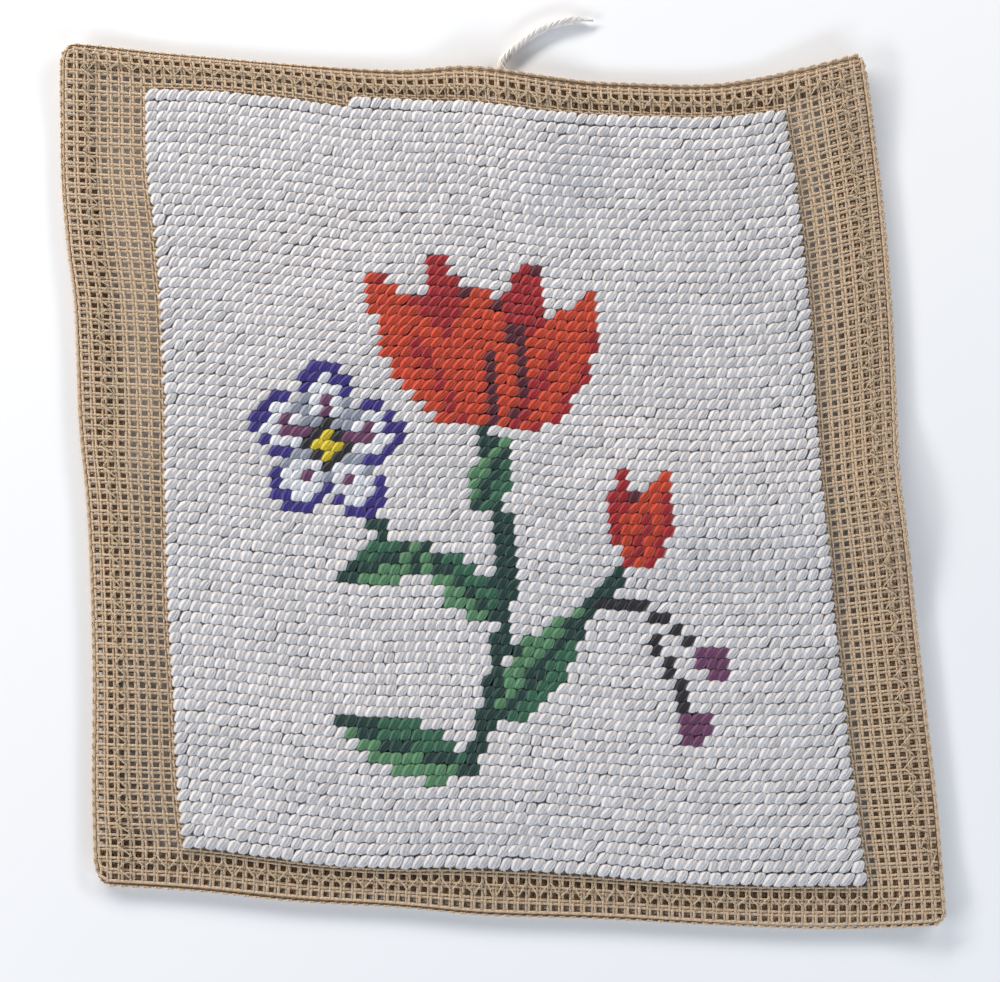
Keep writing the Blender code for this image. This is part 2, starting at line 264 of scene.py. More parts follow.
# Drift of the turned layer along each side, in meshes, and how far its threads stand up into the holes of
# the weave above it, in mm. Shares run down the upright sides and to the right on the level ones.
DRIFT_LEFT = (
    # share of the way, towards the fold, along the fold, up into the holes
    (0.0, 0.50, 0.40, 0.45),
    (0.16, 0.20, 0.15, 0.10),
    (0.6, 0.15, 0.20, 0.10),
    (1.0, 0.28, 0.25, 0.20),
)
DRIFT_RIGHT = (
    # share of the way, towards the fold, along the fold, up into the holes
    (0.0, 0.48, 0.48, 0.60),
    (0.5, 0.48, 0.50, 0.60),
    (0.8, 0.34, 0.34, 0.35),
    (1.0, 0.27, 0.27, 0.25),
)
DRIFT_TOP = (
    # share of the way, towards the fold, along the fold, up into the holes
    (0.0, 0.30, 0.15, 0.20),
    (0.3, 0.34, 0.25, 0.30),
    (0.5, 0.48, 0.45, 0.55),
    (1.0, 0.50, 0.48, 0.60),
)
DRIFT_BOTTOM = (
    # share of the way, towards the fold, along the fold, up into the holes
    (0.0, 0.44, 0.38, 0.40),
    (0.4, 0.30, 0.30, 0.25),
    (0.8, 0.28, 0.30, 0.25),
    (1.0, 0.32, 0.30, 0.25),
)
HEM_CLEAR_FROM = 5.0
HEM_CLEAR_OVER = 4.0

# Tent stitches: rings of a stitch from its lower left end to its upper right one. The place along it runs
# from -1 at one row of holes to 1 at the next, the half width is in meshes, and the heights are in mm. The
# stitch leans by the share STITCH_LEAN of a mesh. The ground colour takes three pieces, one for each band.
STITCH_RINGS = (
    # along, half width, middle height, half height
    (-1.20, 0.23, 2.20, 0.38),
    (-1.02, 0.42, 2.55, 0.48),
    (-0.70, 0.54, 2.78, 0.57),
    (0.00, 0.58, 2.88, 0.62),
    (0.70, 0.54, 2.78, 0.57),
    (1.02, 0.42, 2.55, 0.48),
    (1.20, 0.23, 2.20, 0.38),
)
STITCH_SIDES = 8
STRAND_WANDER_SIZE = 0.9
STRAND_WANDER = 1.6
STITCH_LEAN = 0.55
EDGE_BULGE = 0.10
GROUND_BANDS = ("_upper", "_middle", "_lower")

# Long slanting stitches on the back
BACK_RINGS = (
    # along, half width, middle height, half height
    (-1.0, 0.20, 1.10, 0.38),
    (-0.5, 0.37, 0.58, 0.52),
    (0.5, 0.37, 0.58, 0.52),
    (1.0, 0.20, 1.10, 0.38),
)
BACK_SIDES = 4

# Machine zigzag that holds the hem
ZIGZAG_RADIUS = 0.17
ZIGZAG_HALF_WIDTH = 0.5
ZIGZAG_STEPS = 6
ZIGZAG_SOFTNESS = 0.5
ZIGZAG_WANDER = 0.10
ZIGZAG_UNEVENNESS = 0.18
ZIGZAG_FROM_FOLD = 0.25
ZIGZAG_ROUTES = (
    # name, from u, from v, to u, to v
    ("left", -5.4, -2.8, -5.0, 74.3),
    ("right", 67.5, -2.8, 67.5, 66.0),
    ("right end", 67.5, 66.0, 69.3, 71.0),
    ("bottom", -5.5, 72.5, 66.0, 72.5),
    ("top", -5.4, -1.25, 67.5, -1.35),
)

# Yarn colours of the needlework, as seen on a screen
YARNS = (
    # name, red, green, blue
    ("off_white", 226, 222, 221),
    ("indigo", 58, 44, 128),
    ("white", 232, 232, 236),
    ("grey", 156, 160, 172),
    ("plum", 112, 62, 98),
    ("near_black", 36, 34, 40),
    ("red_orange", 205, 66, 34),
    ("crimson", 168, 30, 36),
    ("maroon", 92, 24, 40),
    ("yellow", 220, 196, 40),
    ("leaf_light", 92, 140, 100),
    ("leaf_mid", 52, 104, 78),
    ("leaf_dark", 24, 62, 54),
)
YARN_NAMES = [row[0] for row in YARNS]
# Share of its wool's colour that the canvas under the stitches keeps: painted shade in the gaps between stitches
GROUND_PAINTED_SHADE = 0.92
TAIL_COLOUR = (246, 239, 233)
CANVAS_COLOUR = (206, 180, 150)
ZIGZAG_COLOUR = (202, 184, 156)
FLOOR_COLOUR = (246, 246, 246)

# Chart of the needlework, in meshes: a plain bouquet of tulips, one five-petalled blossom and berries
STEMS = (
    # yarn, from column, from row, to column, to row, bend, half width
    ("leaf_dark", 27.0, 63.0, 30.5, 30.0, -3.0, 0.75),
    ("leaf_dark", 31.5, 52.0, 43.5, 42.0, -1.6, 0.6),
    ("leaf_dark", 30.5, 46.0, 19.0, 39.0, 2.0, 0.6),
    ("near_black", 39.5, 46.5, 49.5, 50.5, 1.6, 0.5),
    ("near_black", 44.5, 48.6, 47.5, 55.5, 0.6, 0.5),
)
LEAVES = (
    # column, row, turn in degrees, length, half width
    (30.5, 58.0, 52, 15.0, 2.4),
    (27.5, 62.5, 163, 13.5, 2.4),
    (31.5, 49.0, 140, 11.0, 2.1),
    (23.5, 42.5, 205, 8.5, 1.9),
    (29.0, 39.5, 62, 9.0, 1.8),
)
PETALS = (
    # edge yarn, middle yarn, column, row, turn in degrees, length, half width
    ("maroon", "crimson", 29.5, 29.5, 100, 15.0, 3.0),
    ("maroon", "crimson", 32.5, 29.5, 76, 15.5, 3.0),
    ("crimson", "red_orange", 29.0, 31.0, 122, 16.5, 3.4),
    ("crimson", "red_orange", 33.0, 31.0, 56, 16.5, 3.4),
    ("maroon", "red_orange", 31.0, 31.5, 90, 14.0, 3.9),
    ("maroon", "crimson", 44.5, 43.0, 98, 9.0, 1.9),
    ("crimson", "red_orange", 43.5, 43.0, 64, 9.5, 2.2),
)
BLOSSOMS = (
    # column, row, radius, turn in degrees
    (15.5, 33.5, 7.4, 18),
)
BERRIES = (
    # yarn, column, row, radius
    ("plum", 50.8, 51.2, 1.7),
    ("plum", 48.2, 57.2, 1.7),
)
LEAF_VEIN = 0.45
PETAL_RIM = 0.9

# Camera: it looks down on the cloth from a little below its middle
CAMERA_TARGET = (3.4, -4.5, 1.5)
CAMERA_DISTANCE = 450.0
CAMERA_TILT_RIGHT = 2.0
CAMERA_TILT_DOWN = 7.8
CAMERA_ROLL = 1.55
CAMERA_LENS = 68.04
CAMERA_SENSOR = 36.0


def mix(a, b, share):
    return a + (b - a) * share


def soft_step(x):
    """0 below 0, 1 above 1, and a soft rise between."""
    x = np.clip(x, 0, 1)
    return x * x * (3 - 2 * x)


def through(rows, along):
    """Smooth curves through the rows of a table, the first column against the rest."""
    table = np.array(rows, dtype=float)
    last = len(table) - 1
    along = np.asarray(along, dtype=float)
    at = np.searchsorted(table[1:-1, 0], along, side="left")
    before = table[np.maximum(at - 1, 0)]
    here = table[at]
    there = table[at + 1]
    after = table[np.minimum(at + 2, last)]
    span = there[..., :1] - here[..., :1]
    share = (along[..., None] - here[..., :1]) / span
    slope_here = (there - before)[..., 1:] / (there - before)[..., :1] * span
    slope_there = (after - here)[..., 1:] / (after - here)[..., :1] * span
    square = share * share
    cube = square * share
    return (
        (2 * cube - 3 * square + 1) * here[..., 1:]
        + (cube - 2 * square + share) * slope_here
        + (3 * square - 2 * cube) * there[..., 1:]
        + (cube - square) * slope_there
    )


def side_point(start, end, rows, along, out_turn):
    """Points on one side of the panel, in mm: the straight line plus the side's unevenness."""
    run_x = end[0] - start[0]
    run_y = end[1] - start[1]
    length = math.hypot(run_x, run_y)
    out = through(rows, along)[..., 0] * out_turn
    x = start[0] + run_x * along - run_y / length * out
    y = start[1] + run_y * along + run_x / length * out
    return x, y


def share_across(u, down):
    """Share of the panel's width at column u, a share `down` of the way down the panel."""
    width = CORNER_TOP_RIGHT[0] - CORNER_TOP_LEFT[0]
    left = mix(LEFT_BORDER[0], LEFT_BORDER[1], down)
    right = mix(RIGHT_BORDER[0], RIGHT_BORDER[1], down)
    middle = left + (width - left - right) * u / FIELD_COLUMNS
    left_part = left * (u - FOLD_LEFT) / -FOLD_LEFT
    right_part = width - right * (FOLD_RIGHT - u) / (FOLD_RIGHT - FIELD_COLUMNS)
    return np.where(u < 0, left_part, np.where(u > FIELD_COLUMNS, right_part, middle)) / width


def round_corner(u, v):
    """Draw the places near a corner in, so that the corner is round."""
    corners = (
        (FOLD_LEFT, 1, FOLD_TOP, 1, ROUND_TOP_LEFT),
        (FOLD_RIGHT, -1, FOLD_TOP, 1, ROUND_TOP_RIGHT),
        (FOLD_LEFT, 1, FOLD_BOTTOM, -1, ROUND_BOTTOM_LEFT),
        (FOLD_RIGHT, -1, FOLD_BOTTOM, -1, ROUND_BOTTOM_RIGHT),
    )
    for corner_u, turn_u, corner_v, turn_v, size in corners:
        p = 1 - (u - corner_u) * turn_u / size[0]
        q = 1 - (v - corner_v) * turn_v / size[1]
        near = (p > 0) & (q > 0)
        pull = np.where(near, np.maximum(p, q) / np.maximum(np.hypot(p, q), 1e-9), 1.0)
        u = np.where(near, corner_u + turn_u * size[0] * (1 - p * pull), u)
        v = np.where(near, corner_v + turn_v * size[1] * (1 - q * pull), v)
    return u, v


def rise(u, v):
    """Height of the panel's underside above the surface, in mm."""
    total = np.zeros(np.shape(u))
    for _, from_u, from_v, to_u, to_v, half_width, height in RIDGES:
        run_u = to_u - from_u
        run_v = to_v - from_v
        along = ((u - from_u) * run_u + (v - from_v) * run_v) / (run_u * run_u + run_v * run_v)
        along = np.clip(along, 0, 1)
        away = np.hypot(u - from_u - run_u * along, v - from_v - run_v * along)
        away = np.minimum(away / half_width, 1)
        total = total + height * (0.5 + 0.5 * np.cos(math.pi * away))
    return np.maximum(total - SETTLE, 0)


def field_shift(u, v):
    """How far the uneven edges of the field move a place on the cloth, in mm to the right and up."""
    column = np.clip(u, 0, FIELD_COLUMNS)
    row = np.clip(v, 0, FIELD_ROWS)
    right = mix(through(FIELD_LEFT, row)[..., 0], through(FIELD_RIGHT, row)[..., 0], column / FIELD_COLUMNS)
    up = mix(through(FIELD_TOP, column)[..., 0], through(FIELD_BOTTOM, column)[..., 0], row / FIELD_ROWS)
    fade_across = np.minimum((u - FOLD_LEFT) / -FOLD_LEFT, (FOLD_RIGHT - u) / (FOLD_RIGHT - FIELD_COLUMNS))
    fade_down = np.minimum((v - FOLD_TOP) / -FOLD_TOP, (FOLD_BOTTOM - v) / (FOLD_BOTTOM - FIELD_ROWS))
    fade = np.clip(fade_across, 0, 1) * np.clip(fade_down, 0, 1)
    return right * fade, up * fade


def surface(u, v, height):
    """Points in metres over places on the cloth, `height` mm above the panel's underside."""
    u, v = round_corner(np.asarray(u, dtype=float), np.asarray(v, dtype=float))
    down = (v - FOLD_TOP) / (FOLD_BOTTOM - FOLD_TOP)
    across = share_across(u, down)
    top = side_point(CORNER_TOP_LEFT, CORNER_TOP_RIGHT, TOP_SIDE, across, 1)
    bottom = side_point(CORNER_BOTTOM_LEFT, CORNER_BOTTOM_RIGHT, BOTTOM_SIDE, across, -1)
    left = side_point(CORNER_TOP_LEFT, CORNER_BOTTOM_LEFT, LEFT_SIDE, down, -1)
    right = side_point(CORNER_TOP_RIGHT, CORNER_BOTTOM_RIGHT, RIGHT_SIDE, down, 1)
    spot = []
    for axis in (0, 1):
        flat = mix(
            mix(CORNER_TOP_LEFT[axis], CORNER_TOP_RIGHT[axis], across),
            mix(CORNER_BOTTOM_LEFT[axis], CORNER_BOTTOM_RIGHT[axis], across),
            down,
        )
        shift = field_shift(u, v)[axis]
        spot.append(mix(top[axis], bottom[axis], down) + mix(left[axis], right[axis], across) - flat + shift)
    spot.append(rise(u, v) + height)
    return np.stack(spot, axis=-1) * MM


def waves(seed, count, shortest, longest):
    """A smooth random function of the place on the cloth, about -1 to 1."""
    dice = np.random.default_rng(seed)
    turns = dice.uniform(0, 2 * math.pi, count)
    lengths = dice.uniform(shortest, longest, count)
    starts = dice.uniform(0, 2 * math.pi, count)

    def value(u, v):
        total = 0
        for turn, length, start in zip(turns, lengths, starts):
            total = total + np.sin(2 * math.pi * (u * math.cos(turn) + v * math.sin(turn)) / length + start)
        return total / math.sqrt(count)

    return value


def screen_colour(red, green, blue):
    """Colour on a screen, 0 to 255, as the linear colour that a shader takes."""
    values = np.array((red, green, blue)) / 255
    linear = np.where(values <= 0.04045, values / 12.92, ((values + 0.055) / 1.055) ** 2.4)
    return (*(float(value) for value in linear), 1.0)


# Meshes

class Tubes:
    """Closed tubes that are joined into one mesh, with a place along and round each tube."""

    def __init__(self):
        self.points = []
        self.triangles = []
        self.maps = []
        self.tints = []
        self.count = 0

    def add(self, centres, level, up, half_widths, half_heights, sides, tints):
        """Tubes along lines of centres, an array of tube, ring and axis. `level` and `up` are the axes of
        each ring, and the half sizes are in metres, for each tube and ring."""
        number, rings, _ = centres.shape
        turn = 2 * math.pi * (np.arange(sides) + 0.5) / sides
        level = np.broadcast_to(level, centres.shape)
        up = np.broadcast_to(up, centres.shape)
        wide = np.broadcast_to(half_widths, (number, rings))[..., None, None]
        high = np.broadcast_to(half_heights, (number, rings))[..., None, None]
        points = (
            centres[:, :, None]
            + level[:, :, None] * np.cos(turn)[:, None] * wide
            + up[:, :, None] * np.sin(turn)[:, None] * high
        )
        steps = np.linalg.norm(np.diff(centres, axis=1), axis=2) / MM
        along = np.concatenate([np.zeros((number, 1)), np.cumsum(steps, axis=1)], axis=1)
        ring, side = np.meshgrid(np.arange(rings - 1), np.arange(sides), indexing="ij")
        ring = ring.ravel()
        side = side.ravel()
        after = side + 1
        pairs = [
            ((ring, side), (ring, after), (ring + 1, after)),
            ((ring, side), (ring + 1, after), (ring + 1, side)),
        ]
        fan = np.arange(1, sides - 1)
        start = np.zeros(len(fan), dtype=int)
        end = start + rings - 1
        pairs.append(((start, start), (start, fan + 1), (start, fan)))
        pairs.append(((end, start), (end, fan), (end, fan + 1)))
        rings_of = np.concatenate([np.stack([corner[0] for corner in pair], axis=1) for pair in pairs])
        sides_of = np.concatenate([np.stack([corner[1] for corner in pair], axis=1) for pair in pairs])
        corners = rings_of * sides + sides_of % sides
        first = self.count + np.arange(number)[:, None, None] * rings * sides
        maps = np.empty((number, *corners.shape, 2))
        maps[..., 0] = sides_of / sides
        maps[..., 1] = along[:, rings_of]
        self.points.append(points.reshape(-1, 3))
        self.triangles.append((first + corners).reshape(-1, 3))
        self.maps.append(maps.reshape(-1, 2))
        self.tints.append(np.repeat(np.broadcast_to(tints, (number,)), rings * sides))
        self.count += number * rings * sides

    def to_piece(self, name, material):
        return add_piece(
            name,
            np.concatenate(self.points),
            np.concatenate(self.triangles),
            material,
            np.concatenate(self.maps),
            np.concatenate(self.tints),
        )


def add_piece(name, points, triangles, material, maps=None, tints=None):
    """A piece of the object from arrays of points and triangles, shaded smooth."""
    mesh = bpy.data.meshes.new(name)
    mesh.vertices.add(len(points))
    mesh.vertices.foreach_set("co", points.astype(np.float32).ravel())
    mesh.loops.add(triangles.size)
    mesh.loops.foreach_set("vertex_index", triangles.astype(np.int32).ravel())
    mesh.polygons.add(len(triangles))
    mesh.polygons.foreach_set("loop_start", np.arange(0, triangles.size, 3, dtype=np.int32))
    mesh.update(calc_edges=True)
    if maps is not None:
        layer = mesh.uv_layers.new(name="strand")
        layer.uv.foreach_set("vector", maps.astype(np.float32).ravel())
    if tints is not None:
        attribute = mesh.attributes.new("tint", "FLOAT", "POINT")
        attribute.data.foreach_set("value", tints.astype(np.float32))
    mesh.validate()
    mesh.shade_smooth()
    mesh.materials.append(material)
    piece = bpy.data.objects.new(name, mesh)
    bpy.context.scene.collection.objects.link(piece)
    return piece


def ring_axes(centres, across):
    """Level and upward axes of rings that stand square to their line of centres."""
    ahead = np.gradient(centres, axis=1)
    ahead /= np.linalg.norm(ahead, axis=2, keepdims=True)
    level = across - ahead * np.sum(across * ahead, axis=2, keepdims=True)
    level /= np.linalg.norm(level, axis=2, keepdims=True)
    return level, np.cross(ahead, level)


# Materials

def new_material(name, colour, roughness):
    material = bpy.data.materials.new(name)
    material.use_nodes = True
    shader = material.node_tree.nodes["Principled BSDF"]
    shader.inputs["Base Color"].default_value = colour
    shader.inputs["Roughness"].default_value = roughness
    return material, shader


def add_node(material, kind, inputs=None, **settings):
    node = material.node_tree.nodes.new(kind)
    for name, value in settings.items():
        setattr(node, name, value)
    for slot, value in (inputs or {}).items():
        if isinstance(value, bpy.types.NodeSocket):
            material.node_tree.links.new(value, node.inputs[slot])
        else:
            node.inputs[slot].default_value = value
    return node


def maths(material, operation, *values):
    node = add_node(material, "ShaderNodeMath", dict(enumerate(values)), operation=operation)
    return node.outputs[0]


def twist(material, strands, turn_every):
    """Height of a yarn's twisted strands, -1 to 1, from the places along and round it. The strands
    wander a little, as spun fibre does."""
    place = add_node(material, "ShaderNodeUVMap", uv_map="strand")
    parts = add_node(material, "ShaderNodeSeparateXYZ", {0: place.outputs[0]})
    around = maths(material, "MULTIPLY", parts.outputs[0], 2 * math.pi * strands)
    along = maths(material, "MULTIPLY", parts.outputs[1], 2 * math.pi / turn_every)
    wander = maths(material, "MULTIPLY", fine_noise(material, STRAND_WANDER_SIZE), STRAND_WANDER)
    phase = maths(material, "ADD", maths(material, "ADD", around, along), wander)
    return maths(material, "SINE", phase)


def fine_noise(material, size, detail=2.0):
    """Noise whose lumps are about `size` mm, 0 to 1."""
    place = add_node(material, "ShaderNodeTexCoord")
    noise = add_node(
        material,
        "ShaderNodeTexNoise",
        {"Vector": place.outputs["Object"], "Scale": 1 / (size * MM), "Detail": detail},
    )
    return noise.outputs["Fac"]


def blend_colours(material, share, none, full):
    blend = add_node(material, "ShaderNodeMix", {0: share, 6: none, 7: full}, data_type="RGBA")
    return blend.outputs[2]


def shade_yarn(material, shader, colour, dark, strands, turn_every, bump):
    """Yarn colour with a little random difference between stitches and in its fuzz, painted shade in the grooves
    between its strands, and its bump.
    """
    tint = add_node(material, "ShaderNodeAttribute", attribute_name="tint")
    ridge = twist(material, strands, turn_every)
    fuzz = fine_noise(material, 0.35)
    # Painted shade: the colour gets darker where the twisted strands dip, in the grooves between them
    share = maths(material, "MULTIPLY_ADD", ridge, 0.25, tint.outputs["Fac"])
    share = maths(material, "MULTIPLY_ADD", fuzz, 1.6, share)
    ramp = add_node(material, "ShaderNodeMapRange", {"Value": share, "From Min": 0.4, "From Max": 2.0})
    shade = blend_colours(material, ramp.outputs[0], dark, colour)
    material.node_tree.links.new(shade, shader.inputs["Base Color"])
    height = maths(material, "MULTIPLY_ADD", fuzz, 1.2, ridge)
    lift = add_node(
        material,
        "ShaderNodeBump",
        {"Strength": 0.7, "Distance": bump * MM, "Height": height},
    )
    material.node_tree.links.new(lift.outputs[0], shader.inputs["Normal"])


def darker(colour, share):
    return (*(value * share for value in colour[:3]), 1.0)


def make_wool(name, red, green, blue, bump=0.18):
    colour = screen_colour(red, green, blue)
    material, shader = new_material(name, colour, 0.9)
    shader.inputs["Specular IOR Level"].default_value = 0.2
    shader.inputs["Sheen Weight"].default_value = 0.25
    shader.inputs["Sheen Roughness"].default_value = 0.6
    shade_yarn(material, shader, colour, darker(colour, 0.70), 6, 9.0, bump)
    return material


def make_cotton(name, red, green, blue):
    colour = screen_colour(red, green, blue)
    material, shader = new_material(name, colour, 0.7)
    shader.inputs["Specular IOR Level"].default_value = 0.35
    shade_yarn(material, shader, colour, darker(colour, 0.74), 2, 0.9, 0.05)
    return material


# Camera

def add_camera():
    right_tilt = math.sin(math.radians(CAMERA_TILT_RIGHT))
    down_tilt = -math.sin(math.radians(CAMERA_TILT_DOWN))
    back = Vector((right_tilt, down_tilt, math.sqrt(1 - right_tilt**2 - down_tilt**2)))
    level = (-back).cross(Vector((0, 1, 0))).normalized()
    upright = level.cross(-back)
    roll = math.radians(CAMERA_ROLL)
    right = level * math.cos(roll) + upright * math.sin(roll)
    up = upright * math.cos(roll) - level * math.sin(roll)
    place = Vector(CAMERA_TARGET) * MM + back * CAMERA_DISTANCE * MM
    data = bpy.data.cameras.new("camera")
    data.lens = CAMERA_LENS
    data.sensor_width = CAMERA_SENSOR
    data.sensor_fit = "HORIZONTAL"
    data.clip_start = 0.01
    camera = bpy.data.objects.new("camera", data)
    camera.matrix_world = Matrix.Translation(place) @ Matrix((right, up, back)).transposed().to_4x4()
    bpy.context.scene.collection.objects.link(camera)
    bpy.context.scene.camera = camera


# Loose yarn end

def yarn_route():
    """The yarn's route against its own length, in mm, as in the part's source."""
    route = [(0.0, *YARN_ROUTE[0])]
    for before, here in zip(YARN_ROUTE, YARN_ROUTE[1:]):
        route.append((route[-1][0] + math.hypot(here[0] - before[0], here[1] - before[1]), *here))
    return route


def add_yarn_tail(material):
    """Twisted plies along the route, flared where the yarn leaves the cloth and drawn thinner and together
    towards the tip.
    """
    route = yarn_route()
    length = route[-1][0]
    count = round(length / PLY_STEP) + 1
    along = np.linspace(0, length, count)
    middle = through(route, along)
    flare = FLARE * np.exp(-(((middle[:, 1] - FLARE_AT) / FLARE_REACH) ** 2))
    tip = soft_step((along / length - TIP_FROM) / (1 - TIP_FROM))
    centres = np.column_stack([middle, np.full(count, YARN_THICKNESS / 2)])
    ahead = np.gradient(centres, axis=0)
    ahead /= np.linalg.norm(ahead, axis=1, keepdims=True)
    aside = np.cross(ahead, (0, 0, 1))
    dice = np.random.default_rng(11)
    tubes = Tubes()
    for ply in range(PLY_COUNT):
        turn = 2 * math.pi * (along / PLY_TURN_EVERY + ply / PLY_COUNT)
        radius = PLY_RADIUS * (1 - dice.uniform(0.5, 0.8) * tip)
        out = PLY_OFFSET * (1 - 0.8 * tip)
        line = centres + aside * (np.cos(turn) * out * (1 + flare))[:, None]
        line[:, 2] = np.maximum(line[:, 2] + np.sin(turn) * out, radius)
        line = line[None] * MM
        level, up = ring_axes(line, np.array((0, 0, 1.0)))
        tubes.add(line, level, up, radius[None] * MM, radius[None] * MM, PLY_SIDES, dice.uniform(0.3, 1))
    tail = tubes.to_piece("yarn_end", material)
    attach(tail, BODY)
    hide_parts("yarn_tail")
    return tail


# Canvas

def crossings(start, end, offset):
    """Places between two ends where a thread meets the pairs that cross it, and which of the pair."""
    middles = np.arange(math.floor(start) - 1, math.ceil(end) + 1) + 0.5
    places = np.stack([middles - offset, middles + offset], axis=1).ravel()
    second = np.tile((0, 1), len(middles))
    inside = (places > start + offset / 2) & (places < end - offset / 2)
    return places[inside], second[inside]


def front_runs(line, upright):
    """Stretches of bare canvas that a thread passes, as pairs of start and end, in meshes."""
    if upright:
        low, high, last = FOLD_TOP, FOLD_BOTTOM, FIELD_ROWS
        in_field = 0 < line < FIELD_COLUMNS
        first = 1 if line < FIRST_ROW_START else 0
    else:
        low, high, last = FOLD_LEFT, FOLD_RIGHT, FIELD_COLUMNS
        in_field = 0 < line < FIELD_ROWS
        first = FIRST_ROW_START if line < 1 else 0
    low += FOLD_INSET
    high -= FOLD_INSET
    if not in_field:
        return [(low, high)]
    return [(low, first + UNDER_STITCHES), (last - UNDER_STITCHES, high)]


def thread_lines(low, high, offset):
    """The threads whose pair lies between two folds: each one's line, and which of the pair it is."""
    lines = []
    for middle in np.arange(math.floor(low), math.ceil(high)) + 0.5:
        for second, turn in ((0, -1), (1, 1)):
            line = middle + turn * offset
            if low + FOLD_MARGIN < line < high - FOLD_MARGIN:
                lines.append((float(line), second))
    return lines


def add_front_threads(upright, material):
    """All upright or all level threads on the front of the bare canvas."""
    if upright:
        name, own, other = "canvas_upright_threads", WARP_OFFSET, WEFT_OFFSET
        half_width, wave, low, high = WARP_HALF_WIDTH, WARP_WAVE, FOLD_LEFT, FOLD_RIGHT
        across = np.array((1.0, 0, 0))
    else:
        name, own, other = "canvas_level_threads", WEFT_OFFSET, WARP_OFFSET
        half_width, wave, low, high = WEFT_HALF_WIDTH, WEFT_WAVE, FOLD_TOP, FOLD_BOTTOM
        across = np.array((0, 1.0, 0))
    dice = np.random.default_rng(21 if upright else 22)
    sway = waves(23 if upright else 24, 5, 9, 40)
    tubes = Tubes()
    for line, second in thread_lines(low, high, own):
        side_shift = dice.normal(0, 0.02)
        thick = half_width * dice.uniform(0.92, 1.05)
        tint = dice.uniform(0.25, 1)
        for start, end in front_runs(line, upright):
            places, crossing = crossings(start, end, other)
            over = np.where((second + crossing) % 2 == 0, 1, -1) * (1 if upright else -1)
            places = np.concatenate([[start], places, [end]])
            heights = CANVAS_MIDDLE + wave * np.concatenate([[0], over, [0]])
            spread = line + side_shift + 0.03 * sway(np.full(len(places), line), places)
            u, v = (spread, places) if upright else (places, spread)
            centres = surface(u, v, heights)[None]
            level, up = ring_axes(centres, across)
            tubes.add(centres, level, up, thick * MM, THREAD_HALF_HEIGHT * MM, THREAD_SIDES, tint)
    return tubes.to_piece(name, material)


# Sides of the panel for the hem: whether the side runs upright, its fold, the way inward, the hem's width
# at both ends, the folds at its two ends, and its drift
HEM_SIDES_TABLE = (
    (True, FOLD_LEFT, 1, HEM_LEFT, FOLD_TOP, FOLD_BOTTOM, DRIFT_LEFT),
    (True, FOLD_RIGHT, -1, HEM_RIGHT, FOLD_TOP, FOLD_BOTTOM, DRIFT_RIGHT),
    (False, FOLD_TOP, 1, HEM_TOP, FOLD_LEFT, FOLD_RIGHT, DRIFT_TOP),
    (False, FOLD_BOTTOM, -1, HEM_BOTTOM, FOLD_LEFT, FOLD_RIGHT, DRIFT_BOTTOM),
)


def hem_lines(fold, inward, offset, limit):
    """Depths in the hem of the threads that run along the fold, and which of the pair each one is."""
    lines = set()
    for pair in range(-1, math.ceil(limit) + 2):
        for second, turn in ((0, -1), (1, 1)):
            line = math.floor(fold) + 0.5 - inward * pair + turn * offset
            deep = round((fold - line) * inward, 4)
            if FOLD_MARGIN < deep < limit:
                lines.add((deep, second))
    return sorted(lines)


def in_hole(along):
    """1 in the middle of a hole of the weave, and 0 under the pair of threads beside it."""
    return 0.5 + 0.5 * np.cos(2 * math.pi * along)


def hem_place(side, deep, along, drifts):
    """Place on the cloth of a spot in the turned hem, which lies a little off the weave above it, and how
    far it stands up into a hole there."""
    upright, fold, inward, _, first, last, drift_rows = side
    settled = soft_step(deep / HEM_DRIFT_OVER)
    ends = soft_step((along - first) / HEM_DRIFT_FROM) * soft_step((last - along) / HEM_DRIFT_FROM)
    drift = through(drift_rows, np.clip((along - first) / (last - first), 0, 1))
    outward = drift[..., 0] + HEM_DRIFT_CHANGE * drifts[0](0, along)
    lengthways = drift[..., 1] + HEM_DRIFT_CHANGE * drifts[1](0, along)
    a = fold + inward * (deep - outward * settled * ends)
    b = along + lengthways * settled * ends
    lift = drift[..., 2] * settled * ends * in_hole(a) * in_hole(b)
    return (a, b, lift) if upright else (b, a, lift)


def hem_height(side, along):
    """Height of the turned layer: a level side's hem lies under an upright side's one at the corners."""
    upright, _, _, _, first, last, _ = side
    if upright:
        return np.full(np.shape(along), SIDE_HEM_HEIGHT)
    from_corner = np.minimum(along - first, last - along)
    return mix(END_HEM_HEIGHT, SIDE_HEM_HEIGHT, soft_step((from_corner - HEM_CLEAR_FROM) / HEM_CLEAR_OVER))


